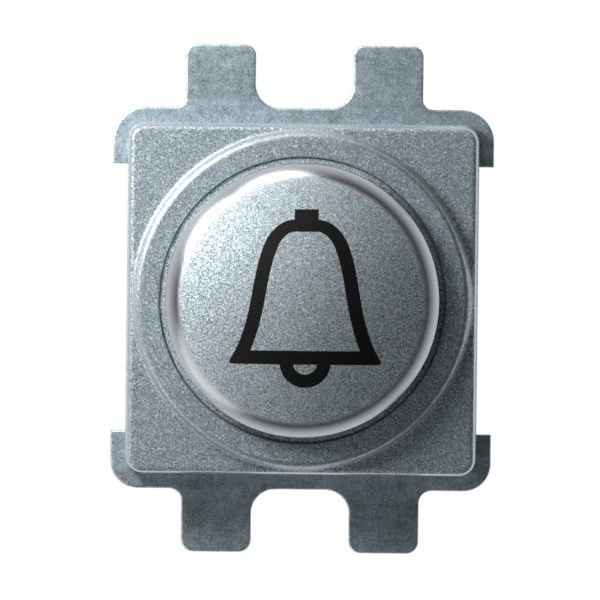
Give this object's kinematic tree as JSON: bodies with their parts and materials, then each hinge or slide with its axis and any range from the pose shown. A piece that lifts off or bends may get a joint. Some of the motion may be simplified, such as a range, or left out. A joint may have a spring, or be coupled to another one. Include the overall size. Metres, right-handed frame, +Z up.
{
  "type": "doorbell push button",
  "caption": "Square metal doorbell push button module with a domed bell-marked button, lugs for clamping behind a panel, and a spring contact switch behind.",
  "frame": {"origin": "on the button's axis, in the plane where the lug plate meets the back of the panel", "axes": "+X right and +Z up as the button is seen from the front; the front looks along -Y"},
  "size_m": [0.0238, 0.0213, 0.0318],
  "materials": {
    "block_metal": "cool grey metallic with a fine grain",
    "cap_metal": "cool grey metallic, finer grain",
    "black_filling": "black engraving enamel",
    "plunger_plastic": "natural moulded",
    "seal_rubber": "matt black",
    "plate_metal": "zinc plated, satin",
    "base_plastic": "black moulded, fine texture",
    "spring_steel": "drawn wire",
    "contact_bronze": "rolled bronze strip",
    "contact_brass": "pressed brass strip",
    "tip_silver": "silver contact alloy",
    "clamp_steel": "nickel plated",
    "screw_steel": "zinc plated"
  },
  "bodies": {
    "module": {"bezel": "block_metal", "lug_plate": "plate_metal", "switch_base": "base_plastic", "return_spring": "spring_steel", "fixed_contact_left": "contact_brass", "fixed_contact_right": "contact_brass", "fixed_tip_left": "tip_silver", "fixed_tip_right": "tip_silver", "wire_clamp_left": "clamp_steel", "wire_clamp_right": "clamp_steel", "terminal_screws": "screw_steel", "case_screws": "screw_steel"},
    "button": {"push_cap": "cap_metal", "bell_inlay": "black_filling", "cap_carrier": "plunger_plastic", "sealing_ring": "seal_rubber", "contact_bridge": "contact_bronze", "bridge_tip_left": "tip_silver", "bridge_tip_right": "tip_silver", "retaining_ring": "spring_steel"}
  },
  "joints": [
    {"name": "press", "type": "slide", "parent": "module", "child": "button", "axis": [0, 1, 0], "range_m": [0, 0.0012], "stiffness_N_per_m": 600, "springref_m": -0.002, "deforming": ["return_spring"]}
  ]
}
